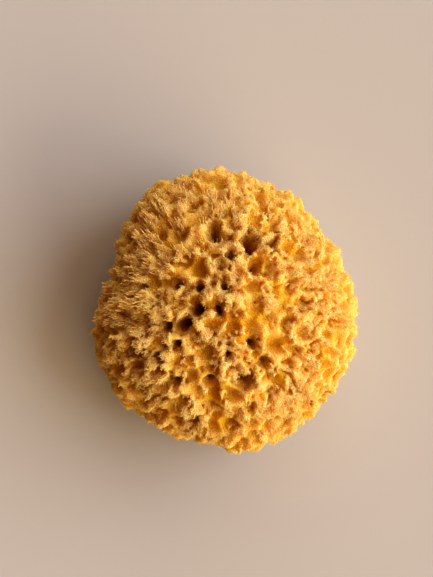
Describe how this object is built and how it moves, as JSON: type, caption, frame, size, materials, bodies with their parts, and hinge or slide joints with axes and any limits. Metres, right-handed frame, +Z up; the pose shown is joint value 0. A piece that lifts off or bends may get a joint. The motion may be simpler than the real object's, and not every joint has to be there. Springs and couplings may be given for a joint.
{
  "type": "natural sea sponge",
  "caption": "Dome-shaped natural sea sponge of soft horny fibre, with tufted crests round open canals, trimmed flat underneath to rest on.",
  "frame": {"origin": "on the flat trimmed face, under the middle of the sponge's bounding box", "axes": "+Z up, out of the crown of the dome; +X to the right and +Y up the picture when the crown is looked at from above"},
  "size_m": [0.1358, 0.145, 0.0866],
  "materials": {
    "spongin_fibre": "dry golden spongin fibre, matt, paler at the tuft tips and deep amber in the canals"
  },
  "bodies": {
    "root": {"sponge": "spongin_fibre"}
  },
  "joints": []
}
